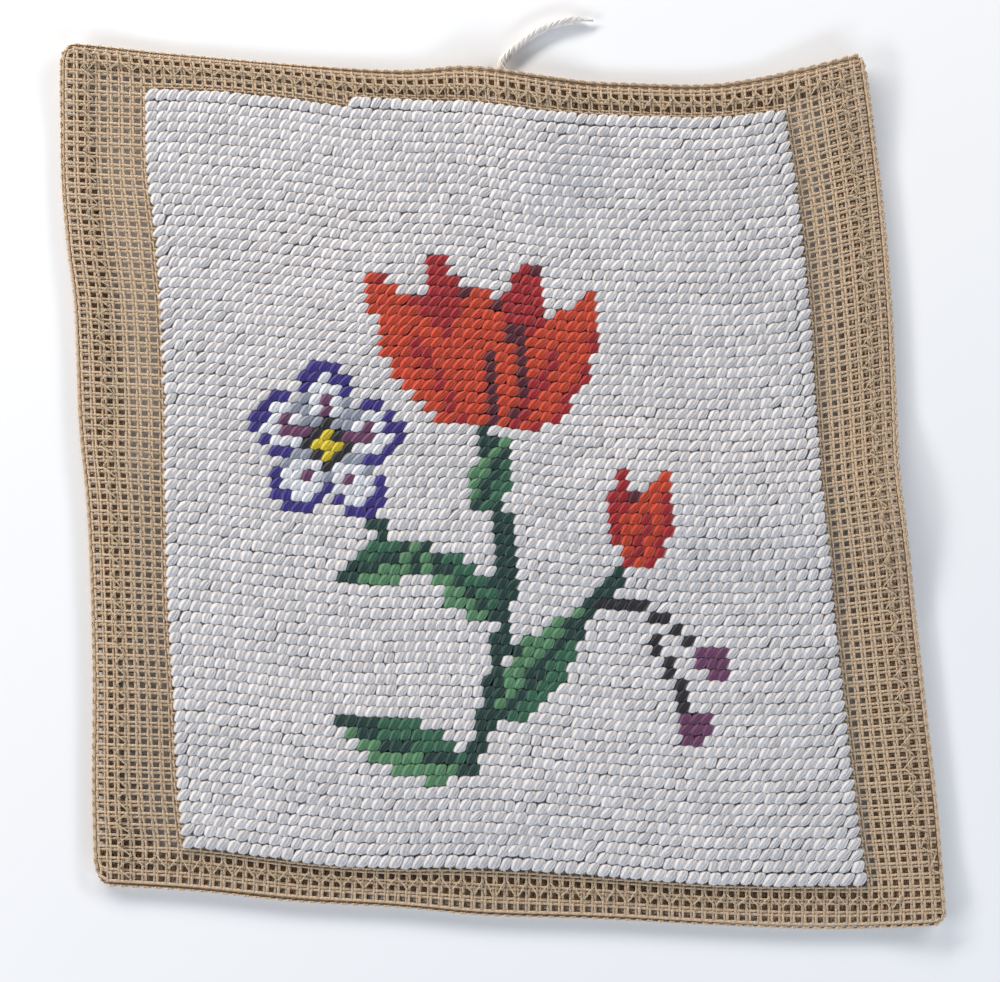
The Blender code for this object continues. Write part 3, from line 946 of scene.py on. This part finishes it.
def add_hem(material):
    """The canvas that is turned to the back: its threads round the fold and in the hem."""
    tubes = Tubes()
    dice = np.random.default_rng(31)
    arc = np.radians(np.arange(0, 180, 30))
    for number, side in enumerate(HEM_SIDES_TABLE):
        upright, fold, inward, widths, first, last, _ = side
        crossing_offset, own_offset = (WEFT_OFFSET, WARP_OFFSET) if upright else (WARP_OFFSET, WEFT_OFFSET)
        half_width = WEFT_HALF_WIDTH if upright else WARP_HALF_WIDTH
        square = np.array((0, 1.0, 0)) if upright else np.array((1.0, 0, 0))
        along_axis = np.array((1.0, 0, 0)) if upright else np.array((0, 1.0, 0))
        drifts = (waves(40 + number, 3, 24, 60), waves(50 + number, 3, 20, 50))

        for line, second in thread_lines(first, last, crossing_offset):
            share = (line - first) / (last - first)
            width = mix(widths[0], widths[1], share) + dice.normal(0, 0.08)
            inner = [row for row in hem_lines(fold, inward, own_offset, width) if row[0] > FOLD_INSET]
            over = [1 if (second + other) % 2 == 0 else -1 for _, other in inner]
            reach = FOLD_REACH + (FOLD_WEAVE if second else -FOLD_WEAVE)
            depths = [*(FOLD_INSET - reach * np.sin(arc)), FOLD_INSET, *(deep for deep, _ in inner), width]
            height = float(hem_height(side, line))
            middle = (CANVAS_MIDDLE + height) / 2
            round_fold = (CANVAS_MIDDLE - height) / 2 * np.cos(arc)
            heights = [*(middle + round_fold), height, *(height + HEM_WAVE * np.array(over)), height]
            u, v, lift = hem_place(side, np.array(depths), np.full(len(depths), line), drifts)
            lift = np.where(np.arange(len(depths)) > len(arc), lift, 0)
            centres = surface(u, v, np.array(heights) + lift)[None]
            level, up = ring_axes(centres, square)
            in_fold = np.arange(len(depths)) < len(arc)
            wide = np.where(in_fold, half_width, HEM_HALF_WIDTH)
            high = np.where(in_fold, THREAD_HALF_HEIGHT, HEM_HALF_HEIGHT)
            tubes.add(centres, level, up, wide * MM, high * MM, HEM_SIDES, dice.uniform(0.25, 1))

        for deep, second in hem_lines(fold, inward, own_offset, max(widths)):
            places, crossing = crossings(first + FOLD_INSET, last - FOLD_INSET, crossing_offset)
            share = (places - first) / (last - first)
            inside = mix(widths[0], widths[1], share) > deep + 0.05
            if np.count_nonzero(inside) < 3:
                continue
            places = places[inside]
            over = np.where((second + crossing[inside]) % 2 == 0, -1, 1)
            u, v, lift = hem_place(side, np.full(len(places), deep), places, drifts)
            centres = surface(u, v, hem_height(side, places) + HEM_WAVE * over + lift)[None]
            level, up = ring_axes(centres, along_axis)
            wide = HEM_HALF_WIDTH * MM
            tubes.add(centres, level, up, wide, HEM_HALF_HEIGHT * MM, HEM_SIDES, dice.uniform(0.25, 1))

        for deep in EDGE_THREAD_DEPTHS:
            places = np.arange(first + FOLD_INSET, last - FOLD_INSET, 0.5)
            u, v = places, np.full(len(places), fold + inward * deep)
            if upright:
                u, v = v, u
            centres = surface(u, v, np.full(len(places), FOLD_MIDDLE))[None]
            level, up = ring_axes(centres, along_axis)
            high = WEFT_HALF_WIDTH * MM
            tubes.add(centres, level, up, THREAD_HALF_HEIGHT * MM, high, THREAD_SIDES, dice.uniform(0.25, 1))
    return tubes.to_piece("canvas_hem_threads", material)


def in_field(column, row):
    return (row > 0) | (column >= FIRST_ROW_START)


def make_ground():
    """Canvas under the stitches: it takes the colour of the wool that lies on it, painted a little darker as
    shade in the gaps between the stitches.
    """
    material, shader = new_material("canvas_under_wool", screen_colour(*YARNS[0][1:]), 0.95)
    under = add_node(material, "ShaderNodeAttribute", attribute_name="under")
    material.node_tree.links.new(under.outputs["Color"], shader.inputs["Base Color"])
    return material


def add_ground(material, chart):
    """The canvas under the stitches, as a thin closed sheet of one cell for each stitch."""
    columns = np.arange(FIELD_COLUMNS + 1)
    rows = np.arange(FIELD_ROWS + 1)
    u, v = np.meshgrid(columns, rows, indexing="ij")
    inset = 0.12
    flat_u = np.clip(u, inset, FIELD_COLUMNS - inset)
    flat_v = np.clip(v, inset, FIELD_ROWS - inset)
    high = surface(flat_u, flat_v, 2.1).reshape(-1, 3)
    low = surface(flat_u, flat_v, 1.5).reshape(-1, 3)
    number = np.arange(u.size).reshape(u.shape)
    cells = np.argwhere(in_field(u[:-1, :-1], v[:-1, :-1]))
    triangles = []
    edges = {}
    for i, j in cells:
        ring = (number[i, j], number[i, j + 1], number[i + 1, j + 1], number[i + 1, j])
        triangles += [(ring[0], ring[1], ring[2]), (ring[0], ring[2], ring[3])]
        for start, end in zip(ring, ring[1:] + ring[:1]):
            if (end, start) in edges:
                del edges[(end, start)]
            else:
                edges[(start, end)] = True
    top = np.array(triangles)
    under = top[:, ::-1] + len(high)
    rim = np.array(list(edges))
    walls = np.concatenate([
        np.column_stack([rim[:, 0] + len(high), rim[:, 1] + len(high), rim[:, 1]]),
        np.column_stack([rim[:, 0] + len(high), rim[:, 1], rim[:, 0]]),
    ])
    used, triangles = np.unique(np.concatenate([top, under, walls]), return_inverse=True)
    points = np.concatenate([high, low])[used]
    piece = add_piece("canvas_ground", points, triangles.reshape(-1, 3), material)
    # Painted shade: each cell takes its wool's colour a little darker, and the sheet's walls the ground wool's,
    # as shade in the gaps between stitches
    shades = np.array([darker(screen_colour(*row[1:]), GROUND_PAINTED_SHADE) for row in YARNS])
    cell_shades = np.repeat(shades[chart[cells[:, 1], cells[:, 0]]], 2, axis=0)
    shades_of_faces = np.concatenate([cell_shades, cell_shades, np.repeat(shades[:1], len(walls), axis=0)])
    layer = piece.data.attributes.new("under", "FLOAT_COLOR", "FACE")
    layer.data.foreach_set("color", shades_of_faces.astype(np.float32).ravel())
    return piece


# Needlework

def lens(x, y, column, row, turn, length, half_width, fullness):
    """What lies in a leaf shape, with the share of the way to its tip and the distance from its vein."""
    angle = math.radians(turn)
    along = ((x - column) * math.cos(angle) - (y - row) * math.sin(angle)) / length
    aside = (x - column) * math.sin(angle) + (y - row) * math.cos(angle)
    width = half_width * np.sin(math.pi * np.clip(along, 0, 1) ** 0.75) ** fullness
    inside = (along > 0) & (along < 1) & (np.abs(aside) <= width)
    return inside, along, aside


def make_chart():
    """Number of the yarn in each stitch, by row and column."""
    x, y = np.meshgrid(np.arange(FIELD_COLUMNS) + 0.5, np.arange(FIELD_ROWS) + 0.5)
    chart = np.zeros(x.shape, dtype=int)

    def paint(where, yarn):
        chart[where] = YARN_NAMES.index(yarn)

    for yarn, from_x, from_y, to_x, to_y, bend, half_width in STEMS:
        run = math.hypot(to_x - from_x, to_y - from_y)
        along = ((x - from_x) * (to_x - from_x) + (y - from_y) * (to_y - from_y)) / run**2
        aside = ((x - from_x) * (to_y - from_y) - (y - from_y) * (to_x - from_x)) / run
        near = np.abs(aside - bend * np.sin(math.pi * along)) < half_width
        paint(near & (along >= 0) & (along <= 1), yarn)
    for column, row, turn, length, half_width in LEAVES:
        inside, along, aside = lens(x, y, column, row, turn, length, half_width, 1.0)
        paint(inside, "leaf_light")
        paint(inside & (aside > 0), "leaf_mid")
        paint(inside & (np.abs(aside) < LEAF_VEIN) & (along < 0.8), "leaf_dark")
        paint(inside & (aside > 0) & (along > 0.72), "leaf_dark")
    for yarn, column, row, radius in BERRIES:
        paint(np.hypot(x - column, y - row) < radius, yarn)
    for edge_yarn, middle_yarn, column, row, turn, length, half_width in PETALS:
        inside, along, aside = lens(x, y, column, row, turn, length, half_width, 0.75)
        inner = lens(x, y, column, row, turn, length, half_width - PETAL_RIM, 0.75)[0]
        paint(inside, middle_yarn)
        paint(inside & (np.abs(aside) < 0.5) & (along < 0.55), edge_yarn)
        paint(inside & ~inner & (aside > 0), edge_yarn)
    for column, row, radius, turn in BLOSSOMS:
        away = np.hypot(x - column, y - row)
        phase = 5 * (np.arctan2(row - y, x - column) - math.radians(turn))
        lobe = np.abs(np.cos(phase / 2))
        edge = radius * (0.60 + 0.40 * lobe**0.8)
        inside = away < edge
        paint(inside, "white")
        paint(inside & (lobe < 0.45), "grey")
        paint(inside & (lobe > 0.93) & (away < 0.62 * radius), "plum")
        paint(inside & (away > edge - 1.15), "indigo")
        paint(away < 2.1, "near_black")
        paint(away < 1.2, "yellow")
    return chart


def stitch_tubes(columns, rows, dice):
    """Tent stitches that slant from a lower left hole to the hole above on the right."""
    number = len(columns)
    shape = np.array(STITCH_RINGS)
    along = shape[None, :, 0]
    lean = STITCH_LEAN + 0.12 * LEAN_DRIFT(columns, rows) + dice.normal(0, 0.12, number)
    lean = np.clip(lean, 0.25, 0.95)[:, None]
    size = dice.normal(1, 0.06, number)[:, None]
    shift_u = dice.normal(0, 0.03, number)[:, None]
    shift_v = dice.normal(0, 0.03, number)[:, None] + 0.05 * ROW_DRIFT(columns, rows)[:, None]
    bulge_u = EDGE_BULGE * ((columns == FIELD_COLUMNS - 1) * 1.0 - (columns == 0))[:, None]
    bulge_v = EDGE_BULGE * ((rows == FIELD_ROWS - 1) * 1.0 - (rows == FIRST_ROWS[columns]))[:, None]
    inner = np.clip(1 - np.abs(along) ** 3, 0, 1)
    u = columns[:, None] + 0.5 + 0.5 * along * lean
    v = rows[:, None] + 0.5 - 0.5 * along
    u = u + shift_u * inner + bulge_u
    v = v + shift_v + bulge_v
    middle = shape[None, :, 2] + dice.normal(0, 0.06, number)[:, None] * inner
    half_height = shape[None, :, 3] * (0.6 + 0.4 * size)
    centres = surface(u, v, middle)
    level = surface(u + 0.5, v, middle) - surface(u - 0.5, v, middle)
    mesh_width = np.linalg.norm(level, axis=2)
    level = level / mesh_width[..., None]
    up = np.array((0, 0, 1.0))
    half_width = shape[None, :, 1] * size * mesh_width
    return centres, level, up, half_width, half_height * MM


LEAN_DRIFT = waves(61, 4, 25, 60)
ROW_DRIFT = waves(62, 6, 4, 18)
FIRST_ROWS = np.where(np.arange(FIELD_COLUMNS) < FIRST_ROW_START, 1, 0)


def back_tubes(columns, rows, dice):
    """Long stitches on the back, from the upper end of one stitch to the foot of the one before."""
    number = len(columns)
    shape = np.array(BACK_RINGS)
    along = shape[None, :, 0]
    sway = dice.normal(0, 0.06, number)[:, None]
    u = columns[:, None] + sway - along
    v = rows[:, None] + 0.5 + 0.5 * along + dice.normal(0, 0.04, number)[:, None]
    u = np.clip(u, -0.2, FIELD_COLUMNS + 0.2)
    centres = surface(u, v, np.broadcast_to(shape[None, :, 2], u.shape))
    level, up = ring_axes(centres, np.array((0, 1.0, 0)))
    size = dice.normal(1, 0.08, number)[:, None]
    half_width = shape[None, :, 1] * size * 2.5 * MM
    return centres, level, up, half_width, shape[None, :, 3] * MM


def add_needlework(chart, wools):
    """One piece for each yarn on the front and on the back, with the ground in three pieces on each, one for each
    band.
    """
    pieces = []
    for number, (name, *_) in enumerate(YARNS):
        rows, columns = np.nonzero((chart == number) & in_field(*np.meshgrid(
            np.arange(FIELD_COLUMNS), np.arange(FIELD_ROWS))))
        if len(rows) == 0:
            continue
        groups = [("", np.full(len(rows), True))]
        if number == 0:
            bands = rows * len(GROUND_BANDS) // FIELD_ROWS
            groups = [(suffix, bands == band) for band, suffix in enumerate(GROUND_BANDS)]
        for band, (suffix, chosen) in enumerate(groups):
            dice = np.random.default_rng(100 + number + 50 * band)
            front = Tubes()
            count = np.count_nonzero(chosen)
            tints = dice.uniform(0.15, 1, count)
            front.add(*stitch_tubes(columns[chosen], rows[chosen], dice), STITCH_SIDES, tints)
            piece = front.to_piece(f"stitches_{name}{suffix}", wools[name])
            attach(piece, BODY)
            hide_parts("needlework_face")
            back = Tubes()
            back.add(*back_tubes(columns[chosen], rows[chosen], dice), BACK_SIDES, tints)
            behind = back.to_piece(f"back_{name}{suffix}", wools[name])
            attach(behind, BODY)
            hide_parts("needlework_back")
            pieces += [piece, behind]
    return pieces


# Machine zigzag

def add_zigzag(material):
    """Zigzag thread on the front and on the back of the hem, through the canvas at each turn."""
    tubes = Tubes()
    dice = np.random.default_rng(71)
    sway = waves(72, 4, 6, 25)
    for number, (_, from_u, from_v, to_u, to_v) in enumerate(ZIGZAG_ROUTES):
        run_u = to_u - from_u
        run_v = to_v - from_v
        length = math.hypot(run_u, run_v)
        turns = int(length)
        steps = np.linspace(0, turns, turns * ZIGZAG_STEPS + 1)
        straight = 4 * np.abs((steps / 2) % 1 - 0.5) - 1
        swing = ZIGZAG_HALF_WIDTH * mix(straight, np.cos(math.pi * steps), ZIGZAG_SOFTNESS)
        swing = swing * (1 + ZIGZAG_UNEVENNESS * sway(steps, 40 * number + 20))
        swing = swing + ZIGZAG_WANDER * sway(steps, 40 * number)
        share = steps / length
        u = from_u + run_u * share - run_v / length * swing
        v = from_v + run_v * share + run_u / length * swing
        u = np.clip(u, FOLD_LEFT + ZIGZAG_FROM_FOLD, FOLD_RIGHT - ZIGZAG_FROM_FOLD)
        through_cloth = np.abs(steps - np.round(steps)) < 0.1
        jitter = dice.normal(0, 0.03, len(steps))
        for outer, inner in ((2.48, 1.75), (0.02 + ZIGZAG_RADIUS, 0.9)):
            height = np.where(through_cloth, inner, outer)
            centres = surface(u + jitter, v, height)[None]
            level, up = ring_axes(centres, np.array((0, 0, 1.0)))
            tubes.add(centres, level, up, ZIGZAG_RADIUS * MM, ZIGZAG_RADIUS * MM, 5, 0.8)
    piece = tubes.to_piece("hem_zigzag", material)
    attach(piece, BODY)
    return piece


# Surroundings

def add_floor():
    material, _ = new_material("floor", screen_colour(*FLOOR_COLOUR), 0.9)
    mesh = bpy.data.meshes.new("floor")
    half = 2.0
    mesh.from_pydata([(-half, -half, 0), (half, -half, 0), (half, half, 0), (-half, half, 0)], [], [(0, 1, 2, 3)])
    mesh.materials.append(material)
    floor = bpy.data.objects.new("floor", mesh)
    bpy.context.scene.collection.objects.link(floor)


# Wide, low soft boxes round the panel, so that the holes of the canvas are in shade
LIGHTS = (
    # name, azimuth, elevation, distance, width and height in metres, watts, colour
    ("window", 125, 21, 0.80, 1.00, 0.13, 8.6, (1.0, 0.965, 0.935)),
    ("fill", -60, 21, 1.00, 1.00, 0.14, 6.9, (0.72, 0.84, 1.0)),
    ("left side", 205, 21, 1.00, 0.80, 0.14, 6.3, (0.97, 0.975, 1.0)),
    ("right side", 35, 21, 1.00, 0.80, 0.14, 5.4, (0.95, 0.965, 1.0)),
)
SKY_STRENGTH = 0.05
SKY_COLOUR = (0.92, 0.95, 1.0)


def add_lights():
    for name, azimuth, elevation, distance, width, height, watts, colour in LIGHTS:
        data = bpy.data.lights.new(name, "AREA")
        data.shape = "RECTANGLE"
        data.size = width
        data.size_y = height
        data.energy = watts
        data.color = colour
        light = bpy.data.objects.new(name, data)
        flat = math.cos(math.radians(elevation))
        toward = Vector((
            math.cos(math.radians(azimuth)) * flat,
            math.sin(math.radians(azimuth)) * flat,
            math.sin(math.radians(elevation)),
        ))
        light.location = toward * distance
        light.rotation_euler = toward.to_track_quat("Z", "Y").to_euler()
        bpy.context.scene.collection.objects.link(light)
    world = bpy.data.worlds.new("sky")
    world.use_nodes = True
    sky = world.node_tree.nodes["Background"]
    sky.inputs["Color"].default_value = (*SKY_COLOUR, 1.0)
    sky.inputs["Strength"].default_value = SKY_STRENGTH
    bpy.context.scene.world = world
    bpy.context.scene.view_settings.view_transform = "Standard"


def main():
    add_camera()
    wools = {row[0]: make_wool(f"wool_{row[0]}", *row[1:]) for row in YARNS}
    add_yarn_tail(make_wool("wool_tail", *TAIL_COLOUR, bump=0.07))
    cotton = make_cotton("cotton_threads", *CANVAS_COLOUR)
    chart = make_chart()
    upright = add_front_threads(True, cotton)
    level = add_front_threads(False, cotton)
    hem = add_hem(cotton)
    ground = add_ground(make_ground(), chart)
    for piece in (upright, level, hem, ground):
        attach(piece, BODY)
        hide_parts("canvas")
    add_needlework(chart, wools)
    add_zigzag(make_cotton("zigzag_thread", *ZIGZAG_COLOUR))
    add_floor()
    add_lights()


main()
